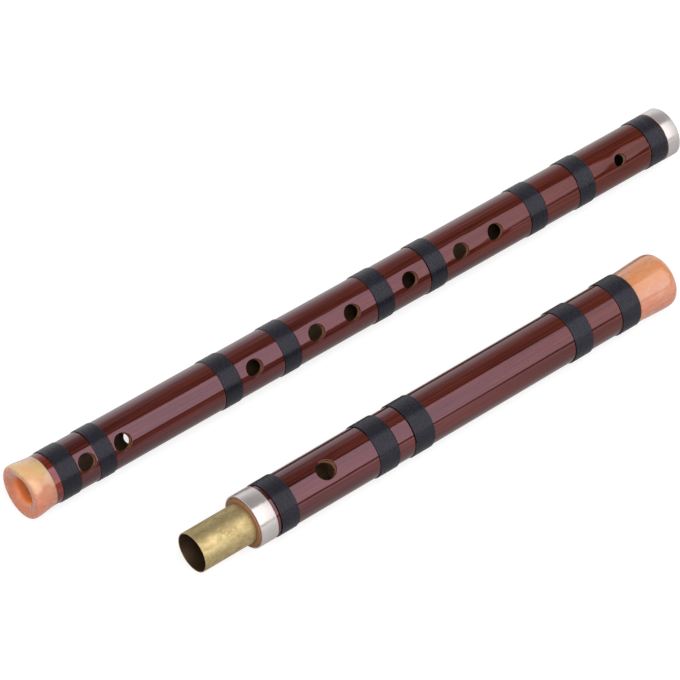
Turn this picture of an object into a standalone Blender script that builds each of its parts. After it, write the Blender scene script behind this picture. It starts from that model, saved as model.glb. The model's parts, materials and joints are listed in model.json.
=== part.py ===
# Dizi, a side-blown bamboo flute, in its two sections.
# Metres, +Z up. The sections lie side by side along X, as they do before they are put
# together: the body section with its tail ring at -X and its socket at +X, and the head
# section beside it with its brass tenon towards -X.

import math

import bmesh
import bpy

# Fits
SEAT_GAP = 0.0003
SLIDE_FIT = 0.0001

# Body section
BODY_LENGTH = 0.3702
BODY_TAIL_DIAMETER = 0.0231
BODY_SOCKET_DIAMETER = 0.0227
BODY_BORE_DIAMETER = 0.0174

# Head section, whose length is from its rim to the end of its cap
HEAD_LENGTH = 0.2384
HEAD_RIM_DIAMETER = 0.0238
HEAD_CAP_END_DIAMETER = 0.0240
HEAD_BORE_DIAMETER = 0.0174

# Tail ring
TAIL_RING_LENGTH = 0.0109
TAIL_RING_LIP_DIAMETER = 0.0250
TAIL_RING_BORE_DIAMETER = 0.0114
TAIL_RING_EDGE_ROUND = 0.0011
TAIL_RING_FACE_WIDTH = 0.0008
TAIL_RING_MOUTH_DEPTH = 0.0035
TAIL_SPIGOT_LENGTH = 0.0030
SPIGOT_WALL = 0.0015

# Head cap
CAP_LENGTH = 0.0229
CAP_WAIST_DIAMETER = 0.0241
CAP_WIDEST_DIAMETER = 0.0256
CAP_END_ROUND = 0.0036
CAP_SPIGOT_LENGTH = 0.0080

# Tenon and socket
TENON_DIAMETER = 0.0183
TENON_WALL = 0.00045
TENON_LENGTH = 0.0268
TENON_GLUED_LENGTH = 0.0240
SOCKET_END_ROOM = 0.0012
SOCKET_SLEEVE_WALL = 0.0005
MOUTH_CHAMFER = 0.0002

# Metal ferrules on the two bamboo ends that meet
BODY_FERRULE_LENGTH = 0.0071
HEAD_FERRULE_LENGTH = 0.0088
FERRULE_WALL = 0.0006
BODY_FERRULE_PROUD = 0.00045
HEAD_FERRULE_PROUD = 0.00030
HEAD_RIM_LIP = 0.0006
FERRULE_EDGE = 0.0002

# Thread bindings, each wound in a shallow seat turned in the bamboo
SEAT_DEPTH = 0.0006
BODY_BINDING_PROUD = 0.00040
HEAD_BINDING_PROUD = 0.00055
BINDING_SHOULDER = 0.0003

# Holes: length along the tube, width across it, and the bevel round the rim
FINGER_HOLE_LENGTH = 0.0084
FINGER_HOLE_WIDTH = 0.0074
VENT_LENGTH = 0.0084
VENT_WIDTH = 0.0076
MEMBRANE_HOLE_LENGTH = 0.0066
MEMBRANE_HOLE_WIDTH = 0.0058
EMBOUCHURE_LENGTH = 0.0095
EMBOUCHURE_WIDTH = 0.0084
HOLE_BEVEL = 0.0004
EMBOUCHURE_BEVEL = 0.00025

# Directions that the holes face, in degrees from straight up towards -Y
FINGER_HOLE_TURN = 54.0
MEMBRANE_HOLE_TURN = 51.0
BACK_VENT_TURN = 204.0
EMBOUCHURE_TURN = 30.5

# Stopper in the head bore, beside the embouchure
STOPPER_LENGTH = 0.0180
STOPPER_FROM_EMBOUCHURE = 0.0050
STOPPER_EDGE = 0.0008

# Layout of the two sections
LANE_SPACING = 0.0740
HEAD_RIM_FROM_TAIL = 0.0593

# Facets
SIDES = 32
HOLE_SIDES = 16

# Features along the body from the tail ring: name, bare bamboo before it, and its length.
# The bare stretches grow or shrink together to fill the length of the section.
BODY_FEATURES = (
    ("binding_01", 0.0035, 0.0092),
    ("front_vent_1", 0.0010, VENT_LENGTH),
    ("binding_02", 0.0011, 0.0081),
    ("front_vent_2", 0.0013, VENT_LENGTH),
    ("back_vent_1", 0.0059, VENT_LENGTH),
    ("back_vent_2", 0.0100, VENT_LENGTH),
    ("binding_03", 0.0170, 0.0090),
    ("finger_hole_1", 0.0045, FINGER_HOLE_LENGTH),
    ("binding_04", 0.0110, 0.0091),
    ("finger_hole_2", 0.0063, FINGER_HOLE_LENGTH),
    ("finger_hole_3", 0.0118, FINGER_HOLE_LENGTH),
    ("binding_05", 0.0089, 0.0094),
    ("finger_hole_4", 0.0068, FINGER_HOLE_LENGTH),
    ("binding_06", 0.0065, 0.0091),
    ("finger_hole_5", 0.0060, FINGER_HOLE_LENGTH),
    ("finger_hole_6", 0.0121, FINGER_HOLE_LENGTH),
    ("binding_07", 0.0161, 0.0095),
    ("binding_08", 0.0203, 0.0092),
    ("membrane_hole", 0.0142, MEMBRANE_HOLE_LENGTH),
    ("binding_09", 0.0144, 0.0094),
)
BODY_FERRULE_SPACE = 0.0009

# Features along the head from its ferrule, in the same way
HEAD_FEATURES = (
    ("binding_10", 0.0018, 0.0094),
    ("embouchure", 0.0149, EMBOUCHURE_LENGTH),
    ("binding_11", 0.0203, 0.0104),
    ("binding_12", 0.0091, 0.0104),
    ("binding_13", 0.0817, 0.0100),
    ("binding_14", 0.0179, 0.0104),
)


def run_of_features(start, end, features):
    """Give each feature's first and last place along the tube, from start to end."""
    bare_at_design = sum(bare for name, bare, length in features)
    bare_left = end - start - sum(length for name, bare, length in features)
    stretch = bare_left / bare_at_design
    places = {}
    along = start
    for name, bare, length in features:
        first = along + bare * stretch
        along = first + length
        places[name] = (first, along)
    return places


CAP_START = HEAD_LENGTH - CAP_LENGTH
BODY_PLACES = run_of_features(
    TAIL_RING_LENGTH, BODY_LENGTH - BODY_FERRULE_LENGTH - BODY_FERRULE_SPACE, BODY_FEATURES)
HEAD_PLACES = run_of_features(
    HEAD_RIM_LIP + HEAD_FERRULE_LENGTH, CAP_START - SEAT_GAP, HEAD_FEATURES)


def between(start, end, share):
    """Give the value that lies at a share of the way from start to end."""
    return start + (end - start) * share


def body_radius(along):
    """Outer radius of the body's bamboo at a place from the tail face."""
    return between(BODY_TAIL_DIAMETER, BODY_SOCKET_DIAMETER, along / BODY_LENGTH) / 2


def head_radius(along):
    """Outer radius of the head's bamboo at a place from its rim."""
    return between(HEAD_RIM_DIAMETER, HEAD_CAP_END_DIAMETER, along / CAP_START) / 2


BODY_FERRULE_OUTER = body_radius(BODY_LENGTH) + BODY_FERRULE_PROUD
HEAD_FERRULE_OUTER = head_radius(0.0) + HEAD_FERRULE_PROUD
TAIL_SPIGOT_RADIUS = BODY_BORE_DIAMETER / 2 + SPIGOT_WALL
CAP_SPIGOT_RADIUS = HEAD_BORE_DIAMETER / 2 + SPIGOT_WALL
SOCKET_SLEEVE_INNER = TENON_DIAMETER / 2 + SLIDE_FIT
SOCKET_SLEEVE_OUTER = SOCKET_SLEEVE_INNER + SOCKET_SLEEVE_WALL
SOCKET_DEPTH = TENON_LENGTH + SOCKET_END_ROOM

parts = None
cutters = None


def clear_scene():
    """Remove what the scene holds."""
    for scene_object in list(bpy.data.objects):
        bpy.data.objects.remove(scene_object, do_unlink=True)


def new_collection(name):
    """Make a collection in the scene."""
    collection = bpy.data.collections.new(name)
    bpy.context.scene.collection.children.link(collection)
    return collection


def make_material(name, colour, roughness, metallic=0.0):
    """Make a plain material from a colour, a roughness and a metallic value."""
    material = bpy.data.materials.new(name)
    material.use_nodes = True
    shader = material.node_tree.nodes["Principled BSDF"]
    shader.inputs["Base Color"].default_value = (*colour, 1.0)
    shader.inputs["Roughness"].default_value = roughness
    shader.inputs["Metallic"].default_value = metallic
    material.diffuse_color = (*colour, 1.0)
    return material


def new_section(name, location):
    """Make the empty that carries one section, on the section's axis."""
    section = bpy.data.objects.new(name, None)
    section.empty_display_size = 0.01
    section.location = location
    parts.objects.link(section)
    return section


def arc(centre_radius, centre_along, size_out, size_along, start, end, steps):
    """Points on an elliptic arc of an outline, from one angle to another in degrees."""
    points = []
    for step in range(steps + 1):
        angle = math.radians(between(start, end, step / steps))
        points.append((
            centre_radius + size_out * math.cos(angle),
            centre_along + size_along * math.sin(angle),
        ))
    return points


def turned(name, outline, section, material, closed=True):
    """Turn an outline of (radius, along) points round the section's axis."""
    mesh = bpy.data.meshes.new(name)
    points = [(radius, 0.0, along) for radius, along in outline]
    edges = [(index, index + 1) for index in range(len(points) - 1)]
    if closed:
        edges.append((len(points) - 1, 0))
    mesh.from_pydata(points, edges, [])
    piece = bpy.data.objects.new(name, mesh)
    parts.objects.link(piece)
    piece.parent = section
    piece.rotation_euler = (0.0, math.pi / 2, 0.0)
    screw = piece.modifiers.new("turn", "SCREW")
    screw.steps = SIDES
    screw.render_steps = SIDES
    screw.use_merge_vertices = True
    screw.merge_threshold = 0.000001
    mesh.materials.append(material)
    return piece


def make_solid(piece):
    """Fix a piece's modifiers in its mesh and shade its round faces smooth."""
    material = piece.data.materials[0]
    evaluated = piece.evaluated_get(bpy.context.evaluated_depsgraph_get())
    mesh = bpy.data.meshes.new_from_object(evaluated)
    piece.modifiers.clear()
    old_mesh = piece.data
    piece.data = mesh
    bpy.data.meshes.remove(old_mesh)
    mesh.name = piece.name
    mesh.materials.clear()
    mesh.materials.append(material)
    mesh.shade_smooth()
    mesh.set_sharp_from_angle(angle=math.radians(35.0))


def stepped_outline(stretches):
    """Outer points of a tube, top to bottom, from (low, high, radius at low, radius at high)."""
    points = []
    for low, high, radius_low, radius_high in sorted(stretches, reverse=True):
        points.append((radius_high, high))
        points.append((radius_low, low))
    return points


def bamboo_stretches(radius_at, places, start, end):
    """Bare lands and binding seats of a bamboo tube between two places along it."""
    stretches = []
    along = start
    for name, (first, last) in sorted(places.items(), key=lambda item: item[1]):
        if not name.startswith("binding"):
            continue
        seat_start = first - SEAT_GAP
        seat_end = last + SEAT_GAP
        seat_radius = seat_radius_at(radius_at, first, last)
        stretches.append((along, seat_start, radius_at(along), radius_at(seat_start)))
        stretches.append((seat_start, seat_end, seat_radius, seat_radius))
        along = seat_end
    if end > along:
        stretches.append((along, end, radius_at(along), radius_at(end)))
    return stretches


def seat_radius_at(radius_at, first, last):
    """Radius of the seat that is turned under a binding."""
    return radius_at((first + last) / 2) - SEAT_DEPTH


def hole_cutter(name, section, place, turn, width, bevel, radius_at, bore_diameter):
    """A plug for one hole, whose bevel follows the curved wall of the tube."""
    first, last = place
    centre = (first + last) / 2
    half_length = (last - first) / 2
    half_width = width / 2
    outer = radius_at(centre)
    over = bevel / 10
    rim_length = half_length + bevel + over
    rim_width = half_width + bevel + over
    rings = (
        (half_length, half_width, bore_diameter / 4, False),
        (half_length, half_width, outer - bevel, True),
        (rim_length, rim_width, outer + over, True),
        (rim_length, rim_width, outer * 1.2, False),
    )
    shape = bmesh.new()
    bmesh.ops.create_circle(shape, cap_ends=True, segments=HOLE_SIDES, radius=1.0)
    edges = list(shape.edges)
    length_before = 1.0
    width_before = 1.0
    for step, (ring_length, ring_width, height, follows_wall) in enumerate(rings):
        if step:
            grown = bmesh.ops.extrude_edge_only(shape, edges=edges)["geom"]
            edges = [item for item in grown if isinstance(item, bmesh.types.BMEdge) and item.is_boundary]
        for vert in {vert for edge in edges for vert in edge.verts}:
            vert.co.x *= ring_length / length_before
            vert.co.y *= ring_width / width_before
            vert.co.z = math.sqrt(height ** 2 - vert.co.y ** 2) if follows_wall else height
        length_before = ring_length
        width_before = ring_width
    bmesh.ops.holes_fill(shape, edges=edges, sides=0)
    bmesh.ops.recalc_face_normals(shape, faces=shape.faces)
    mesh = bpy.data.meshes.new(name)
    shape.to_mesh(mesh)
    shape.free()
    cutter = bpy.data.objects.new(name, mesh)
    cutters.objects.link(cutter)
    cutter.parent = section
    cutter.location = (centre, 0.0, 0.0)
    cutter.rotation_euler = (math.radians(turn), 0.0, 0.0)
    cutter.hide_render = True
    cutter.display_type = "WIRE"
    return cutter


def drill(piece, cutter):
    """Cut a hole through one wall of a tube."""
    cut = piece.modifiers.new(cutter.name, "BOOLEAN")
    cut.operation = "DIFFERENCE"
    cut.solver = "EXACT"
    cut.object = cutter


def hole_form(name):
    """Width of a named hole on the body and the direction that it faces."""
    if name.startswith("finger"):
        return FINGER_HOLE_WIDTH, FINGER_HOLE_TURN
    if name.startswith("front_vent"):
        return VENT_WIDTH, FINGER_HOLE_TURN
    if name.startswith("back_vent"):
        return VENT_WIDTH, BACK_VENT_TURN
    return MEMBRANE_HOLE_WIDTH, MEMBRANE_HOLE_TURN


def make_body_tube(section, bamboo):
    """Bamboo tube with its tail spigot, binding seats, stepped bore and holes."""
    land_start = TAIL_RING_LENGTH + SEAT_GAP
    ferrule_seat = BODY_FERRULE_OUTER - FERRULE_WALL - SEAT_GAP
    ferrule_start = BODY_LENGTH - BODY_FERRULE_LENGTH - SEAT_GAP
    spigot_start = TAIL_RING_LENGTH - TAIL_SPIGOT_LENGTH
    socket_bottom = BODY_LENGTH - SOCKET_DEPTH - SEAT_GAP
    socket_wall = SOCKET_SLEEVE_OUTER + SEAT_GAP
    bore = BODY_BORE_DIAMETER / 2
    stretches = bamboo_stretches(body_radius, BODY_PLACES, land_start, ferrule_start)
    stretches.append((ferrule_start, BODY_LENGTH, ferrule_seat, ferrule_seat))
    stretches.append((spigot_start, land_start, TAIL_SPIGOT_RADIUS, TAIL_SPIGOT_RADIUS))
    outline = stepped_outline(stretches)
    outline += [(bore, spigot_start), (bore, socket_bottom)]
    outline += [(socket_wall, socket_bottom), (socket_wall, BODY_LENGTH)]
    tube = turned("body_tube", outline, section, bamboo)
    for name, place in BODY_PLACES.items():
        if name.startswith("binding"):
            continue
        width, turn = hole_form(name)
        drill(tube, hole_cutter(
            "cut_" + name, section, place, turn, width, HOLE_BEVEL, body_radius,
            BODY_BORE_DIAMETER))
    return tube


def make_head_tube(section, bamboo):
    """Bamboo tube with its counterbore for the tenon, binding seats, cap spigot and embouchure."""
    ferrule_seat = HEAD_FERRULE_OUTER - FERRULE_WALL - SEAT_GAP
    ferrule_end = HEAD_RIM_LIP + HEAD_FERRULE_LENGTH + SEAT_GAP
    counterbore = TENON_DIAMETER / 2 + SEAT_GAP
    counterbore_end = TENON_GLUED_LENGTH + SEAT_GAP
    bore = HEAD_BORE_DIAMETER / 2
    spigot_end = CAP_START + CAP_SPIGOT_LENGTH
    stretches = bamboo_stretches(head_radius, HEAD_PLACES, ferrule_end, CAP_START)
    stretches.append((0.0, ferrule_end, ferrule_seat, ferrule_seat))
    stretches.append((CAP_START, spigot_end, CAP_SPIGOT_RADIUS, CAP_SPIGOT_RADIUS))
    outline = stepped_outline(stretches)
    outline += [(counterbore, 0.0), (counterbore, counterbore_end)]
    outline += [(bore, counterbore_end), (bore, spigot_end)]
    tube = turned("head_tube", outline, section, bamboo)
    drill(tube, hole_cutter(
        "cut_embouchure", section, HEAD_PLACES["embouchure"], EMBOUCHURE_TURN,
        EMBOUCHURE_WIDTH, EMBOUCHURE_BEVEL, head_radius, HEAD_BORE_DIAMETER))
    return tube


def make_tail_ring(section, resin):
    """Flared end ring with a trumpet mouth, glued over the body's tail spigot."""
    lip = TAIL_RING_LIP_DIAMETER / 2
    edge = TAIL_RING_EDGE_ROUND
    root = body_radius(TAIL_RING_LENGTH)
    bore = TAIL_RING_BORE_DIAMETER / 2
    face_inner = lip - edge - TAIL_RING_FACE_WIDTH
    pocket = TAIL_SPIGOT_RADIUS + SEAT_GAP
    pocket_start = TAIL_RING_LENGTH - TAIL_SPIGOT_LENGTH - SEAT_GAP
    flare = between(TAIL_RING_LENGTH, 2 * edge, 0.5)
    outline = [(root, TAIL_RING_LENGTH), (between(root, lip, 0.3), flare), (lip, 2 * edge)]
    outline += arc(lip - edge, edge, edge, edge, 0.0, -90.0, 2)
    outline += arc(
        face_inner, TAIL_RING_MOUTH_DEPTH, face_inner - bore, TAIL_RING_MOUTH_DEPTH,
        -90.0, -180.0, 4)
    outline += [(bore, pocket_start), (pocket, pocket_start), (pocket, TAIL_RING_LENGTH)]
    return turned("tail_ring", outline, section, resin)


def make_head_cap(section, resin):
    """Closed, flared cap, glued over the head's end spigot."""
    waist = CAP_WAIST_DIAMETER / 2
    widest = CAP_WIDEST_DIAMETER / 2
    end = HEAD_LENGTH
    pocket = CAP_SPIGOT_RADIUS + SEAT_GAP
    pocket_end = CAP_START + CAP_SPIGOT_LENGTH + SEAT_GAP
    start = CAP_START + SEAT_GAP
    round_start = end - CAP_END_ROUND
    outline = [(0.0, end)]
    outline += arc(
        widest - CAP_END_ROUND, round_start, CAP_END_ROUND, CAP_END_ROUND, 90.0, 0.0, 3)
    for share in (0.5, 1.0):
        along = between(round_start, start, share)
        outline.append((between(widest, waist, share ** 1.3), along))
    outline += [(pocket, start), (pocket, pocket_end), (0.0, pocket_end)]
    return turned("head_cap", outline, section, resin, closed=False)


def make_sleeve(name, section, metal, low, high, outer, inner, mouth_high):
    """Plain drawn tube with a small chamfer round its mouth."""
    chamfer = MOUTH_CHAMFER
    if mouth_high:
        outline = [(outer, high), (outer, low), (inner, low)]
        outline += [(inner, high - chamfer), (inner + chamfer, high)]
    else:
        outline = [(outer, high), (outer, low + chamfer), (outer - chamfer, low)]
        outline += [(inner, low), (inner, high)]
    return turned(name, outline, section, metal)


def make_ferrule(name, section, metal, low, high, outer):
    """Thin ring with broken edges over the end of a bamboo tube."""
    inner = outer - FERRULE_WALL
    edge = FERRULE_EDGE
    outline = [(outer - edge, high), (outer, high - edge), (outer, low + edge)]
    outline += [(outer - edge, low), (inner, low), (inner, high)]
    return turned(name, outline, section, metal)


def make_binding(name, section, thread, place, radius_at, proud):
    """Band of wound thread with rounded shoulders, lying in its seat."""
    first, last = place
    shoulder = BINDING_SHOULDER
    inner = seat_radius_at(radius_at, first, last) + SEAT_GAP
    outer = radius_at((first + last) / 2) + proud
    outline = [(outer - shoulder, last), (outer, last - shoulder), (outer, first + shoulder)]
    outline += [(outer - shoulder, first), (inner, first), (inner, last)]
    return turned(name, outline, section, thread)


def make_stopper(section, cork):
    """Cork that closes the head bore beside the embouchure."""
    radius = HEAD_BORE_DIAMETER / 2 - SEAT_GAP
    start = HEAD_PLACES["embouchure"][1] + STOPPER_FROM_EMBOUCHURE
    end = start + STOPPER_LENGTH
    edge = STOPPER_EDGE
    outline = [(0.0, end), (radius - edge, end), (radius, end - edge)]
    outline += [(radius, start + edge), (radius - edge, start), (0.0, start)]
    return turned("stopper", outline, section, cork, closed=False)


def make_bindings(section, thread, places, radius_at, proud):
    """All the bindings of one section, each its own piece."""
    return [
        make_binding(name, section, thread, place, radius_at, proud)
        for name, place in places.items() if name.startswith("binding")
    ]


def main():
    """Build both sections and lay them side by side."""
    global parts, cutters
    clear_scene()
    parts = new_collection("dizi")
    cutters = new_collection("dizi_cutters")
    bamboo = make_material("lacquered_bamboo", (0.20, 0.045, 0.025), 0.25)
    resin = make_material("marbled_resin", (0.86, 0.47, 0.28), 0.2)
    nickel = make_material("nickel", (0.72, 0.68, 0.66), 0.3, 1.0)
    brass = make_material("brass", (0.63, 0.50, 0.24), 0.4, 1.0)
    thread = make_material("black_thread", (0.03, 0.035, 0.05), 0.45)
    cork = make_material("cork", (0.45, 0.28, 0.15), 0.9)

    body_height = TAIL_RING_LIP_DIAMETER / 2
    head_height = CAP_WIDEST_DIAMETER / 2
    body_side = (LANE_SPACING + head_height - body_height) / 2
    body = new_section("body_section", (-BODY_LENGTH / 2, body_side, body_height))
    head = new_section("head_section", (
        HEAD_RIM_FROM_TAIL - BODY_LENGTH / 2, body_side - LANE_SPACING, head_height))

    pieces = [
        make_body_tube(body, bamboo),
        make_tail_ring(body, resin),
        make_sleeve(
            "socket_sleeve", body, brass, BODY_LENGTH - SOCKET_DEPTH, BODY_LENGTH,
            SOCKET_SLEEVE_OUTER, SOCKET_SLEEVE_INNER, True),
        make_ferrule(
            "body_ferrule", body, nickel, BODY_LENGTH - BODY_FERRULE_LENGTH, BODY_LENGTH,
            BODY_FERRULE_OUTER),
        make_head_tube(head, bamboo),
        make_head_cap(head, resin),
        make_sleeve(
            "tenon_sleeve", head, brass, -TENON_LENGTH, TENON_GLUED_LENGTH,
            TENON_DIAMETER / 2, TENON_DIAMETER / 2 - TENON_WALL, False),
        make_ferrule(
            "head_ferrule", head, nickel, HEAD_RIM_LIP, HEAD_RIM_LIP + HEAD_FERRULE_LENGTH,
            HEAD_FERRULE_OUTER),
        make_stopper(head, cork),
    ]
    pieces += make_bindings(body, thread, BODY_PLACES, body_radius, BODY_BINDING_PROUD)
    pieces += make_bindings(head, thread, HEAD_PLACES, head_radius, HEAD_BINDING_PROUD)
    bpy.context.view_layer.update()
    for piece in pieces:
        make_solid(piece)


if __name__ == "__main__":
    main()
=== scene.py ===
"""Looks of a dizi in two sections, laid out as an add-on and run as a script."""

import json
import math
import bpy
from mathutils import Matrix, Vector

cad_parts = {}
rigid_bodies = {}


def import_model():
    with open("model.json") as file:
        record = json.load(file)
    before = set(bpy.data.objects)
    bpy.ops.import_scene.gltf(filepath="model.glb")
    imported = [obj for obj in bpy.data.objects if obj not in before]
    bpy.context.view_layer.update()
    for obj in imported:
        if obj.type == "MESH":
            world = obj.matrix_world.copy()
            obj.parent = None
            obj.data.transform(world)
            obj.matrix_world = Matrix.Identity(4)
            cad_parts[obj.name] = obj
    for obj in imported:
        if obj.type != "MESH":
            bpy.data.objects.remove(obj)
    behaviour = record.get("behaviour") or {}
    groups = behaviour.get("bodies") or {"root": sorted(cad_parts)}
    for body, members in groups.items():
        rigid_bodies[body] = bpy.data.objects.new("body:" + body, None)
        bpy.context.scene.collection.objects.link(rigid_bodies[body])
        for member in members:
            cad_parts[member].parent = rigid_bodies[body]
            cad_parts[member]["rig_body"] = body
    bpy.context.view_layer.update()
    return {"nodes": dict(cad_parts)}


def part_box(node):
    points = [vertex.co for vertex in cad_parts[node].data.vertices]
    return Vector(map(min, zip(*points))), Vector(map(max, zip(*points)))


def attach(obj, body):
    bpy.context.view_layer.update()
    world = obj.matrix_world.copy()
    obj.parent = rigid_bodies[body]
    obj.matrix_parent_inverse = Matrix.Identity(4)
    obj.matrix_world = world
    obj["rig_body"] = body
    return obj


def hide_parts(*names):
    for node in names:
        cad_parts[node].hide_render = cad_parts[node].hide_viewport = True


bl_info = {
    "name": "Dizi in two sections",
    "version": (1, 0, 0),
    "blender": (4, 5, 0),
    "location": "View3D > Sidebar > Dizi",
    "description": "Bamboo, thread, metal and resin of a two-section flute, with its studio",
    "category": "Object",
}

import bmesh
import bpy
from bpy.props import FloatProperty, FloatVectorProperty, IntProperty, PointerProperty
from mathutils import Matrix, Vector, geometry, noise

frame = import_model()

MM = 0.001

# All sizes below are in millimetres. Places along the body count from its tail face, and
# places along the head from its rim. Directions are degrees from straight up towards -Y.
# Each hole: its name, its middle, its length, its width, its direction
BODY_HOLES = (
    ("front_vent_1", 28.8, 8.4, 7.6, 54.0),
    ("front_vent_2", 47.7, 8.4, 7.6, 54.0),
    ("back_vent_1", 62.0, 8.4, 7.6, 204.0),
    ("back_vent_2", 80.4, 8.4, 7.6, 204.0),
    ("finger_1", 119.3, 8.4, 7.4, 54.0),
    ("finger_2", 154.1, 8.4, 7.4, 54.0),
    ("finger_3", 174.3, 8.4, 7.4, 54.0),
    ("finger_4", 207.8, 8.4, 7.4, 54.0),
    ("finger_5", 237.8, 8.4, 7.4, 54.0),
    ("finger_6", 258.3, 8.4, 7.4, 54.0),
    ("membrane", 335.1, 6.6, 5.8, 51.0),
)
HEAD_HOLES = (("embouchure", 40.25, 9.5, 8.4, 30.5),)
# Outer radii of each bamboo tube at its two ends, and of its bore
BODY_RADII = (11.55, 11.35)
HEAD_RADII = (11.90, 12.00)
BORE = 8.7
# Radius and length of the turned-down ends that carry the resin fittings
SPIGOT = 10.2
CAP_SPIGOT_LENGTH = 7.7
CAP_SOCKET_DEPTH = 8.0
RING_SOCKET_DEPTH = 3.2
# Room between glued parts: all round, past their ends, and at faces that almost touch
GLUE_GAP = 0.1
END_GAP = 0.3
FACE_GAP = 0.04
# Wall of a ferrule, depth of its seat in the bamboo, and walls of the two sleeves
FERRULE_WALL = 0.75
FERRULE_SEAT = 0.9
TENON_WALL = 0.45
SOCKET_SLEEVE_WALL = 0.50
# Rounding of the sleeves' and the cork's edges, in metres
SLEEVE_EDGE = 0.00017
CORK_EDGE = 0.0008
# Seats of the bindings, and how far their thread laps over the CAD band and into the seat
SEAT_DEPTH = 0.6
SEAT_GAP = 0.3
THREAD_OVERLAP = 0.22
THREAD_HEIGHT = 0.75
# Bamboo: waves along its walls, dips round its holes, their soft rims, how deep and from
# where the lacquer lies, and steps along the walls
NATURAL_WAVE = 0.10
DISH_DEPTH = 0.22
DISH_REACH = 5.5
HOLE_BEVEL = 0.40
LACQUER_DEPTH = 0.72
LACQUER_START = 0.02
WALL_SPACING = 1.5
# A long shallow flat on the body's lower front: its middle, its direction, its reach along,
# its reach round and its depth
FLAT = (330.0, 70.0, 60.0, 4.0)
FLAT_DEPTH = 0.22
# Radius of the tail ring's throat
THROAT = 5.7
ROUND_SIDES = 128
STOPPER_SIDES = 96
# Colour along the top of the cap, the lit end of the resin's painted light and shade by height
CAP_TOP = (0.63, 0.265, 0.120)
# Seeds of the two tubes' waves
BODY_SEED = 3.0
HEAD_SEED = 11.0
BODY_BINDINGS = ["binding_%02d" % number for number in range(1, 10)]
HEAD_BINDINGS = ["binding_%02d" % number for number in range(10, 15)]

# Softbox: how far it leans from overhead towards -Y in degrees, then metres
SOFTBOX_LEAN = 47.0
SOFTBOX_DISTANCE = 3.5
SOFTBOX_ALONG = 0.5
SOFTBOX_SIZE = (4.6, 4.9)
SOFTBOX_TINT = (1.0, 0.97, 0.965)
FLOOR_REACH = 20.0
ROOM_STRENGTH = 1.15

# Camera: the point it looks at and its distance in metres, its direction, and its lens and
# sensor in millimetres
CAMERA_AIM = Vector((-0.0218, 0.0235, 0.01265))
CAMERA_BACK = Vector((-0.4813, -0.5669, 0.6686))
CAMERA_DISTANCE = 1.700
CAMERA_LENS = 207.04
SENSOR = 36.0


def colour_property(name, description, default):
    """A colour that a user can pick."""
    return FloatVectorProperty(
        name=name, description=description, default=default, subtype="COLOR",
        size=3, min=0.0, max=1.0)


def length_property(name, description, default):
    """A length in metres that a user can set."""
    return FloatProperty(
        name=name, description=description, default=default, unit="LENGTH",
        min=0.0, precision=5)


class BambooSettings(bpy.types.PropertyGroup):
    """Sizes and colours of the two bamboo tubes."""

    dark: colour_property(
        "Dark fibre", "Lacquered bamboo between the fibres", (0.040, 0.0075, 0.0050))
    middle: colour_property(
        "Lacquer", "Main colour of the lacquered bamboo", (0.074, 0.0155, 0.0105))
    light: colour_property(
        "Light fibre", "Lightest fibres under the lacquer", (0.110, 0.0270, 0.0160))
    wall: colour_property("Cut wall", "Stained bamboo where a hole is cut", (0.330, 0.150, 0.070))
    bore: colour_property("Bore", "Bamboo inside the tube", (0.170, 0.100, 0.052))
    streak: length_property("Fibre length", "Length of a fibre streak", 0.070)
    width: length_property("Fibre width", "Width of a fibre streak", 0.0007)
    sides: IntProperty(
        name="Sides", description="Facets round a tube", default=192, min=32, max=512)


class ThreadSettings(bpy.types.PropertyGroup):
    """Sizes and colours of the thread bindings."""

    colour: colour_property("Thread", "Waxed thread", (0.0038, 0.0034, 0.0062))
    worn: colour_property("Worn thread", "Thread where it is rubbed", (0.0110, 0.0110, 0.0200))
    pitch: length_property("Turn", "Room that one turn of thread takes", 0.00047)
    sides: IntProperty(
        name="Steps", description="Steps in one turn of thread", default=72, min=24, max=180)


class MetalSettings(bpy.types.PropertyGroup):
    """Colours of the ferrules and sleeves."""

    nickel: colour_property("Nickel", "Ferrules", (0.645, 0.605, 0.590))
    brass: colour_property("Brass", "Clean brass of the sleeves", (0.55, 0.435, 0.215))
    tarnish: colour_property("Tarnish", "Handled brass", (0.37, 0.28, 0.12))
    patina: colour_property("Patina", "Brass inside the sleeves", (0.085, 0.050, 0.027))
    edge: length_property("Broken edge", "Rounding of the metal's edges", 0.00018)


class ResinSettings(bpy.types.PropertyGroup):
    """Colours of the marbled end fittings."""

    # The tail ring's top colour, painted pale where the light falls on it.
    lit_cream: colour_property("Cream", "Palest cloud in the resin", (0.73, 0.46, 0.22))
    blush: colour_property("Blush", "Pinkish cloud in the resin", (0.60, 0.275, 0.175))
    peach: colour_property("Peach", "Main colour of the resin", (0.59, 0.205, 0.120))
    orange: colour_property("Orange", "Deepest cloud in the resin", (0.95, 0.310, 0.095))
    cloud: length_property("Cloud", "Size of a cloud in the resin", 0.011)


class StudioSettings(bpy.types.PropertyGroup):
    """Floor, light and camera."""

    floor: colour_property("Floor", "Plain floor", (0.35, 0.35, 0.35))
    white: FloatProperty(
        name="White", description="Light that the floor adds for the camera", default=0.76,
        min=0.0, max=2.0)
    softbox: FloatProperty(
        name="Softbox", description="Power of the large softbox", default=180.0,
        min=0.0, unit="POWER")
    ceiling: FloatProperty(
        name="Ceiling", description="Brightness of the room overhead", default=0.04,
        min=0.0, max=1.0, subtype="FACTOR")


def settings():
    """The scene's settings for this object."""
    return bpy.context.scene.dizi


class DiziSettings(bpy.types.PropertyGroup):
    """Everything that a user would change."""

    bamboo: PointerProperty(type=BambooSettings)
    thread: PointerProperty(type=ThreadSettings)
    metal: PointerProperty(type=MetalSettings)
    resin: PointerProperty(type=ResinSettings)
    studio: PointerProperty(type=StudioSettings)


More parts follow.
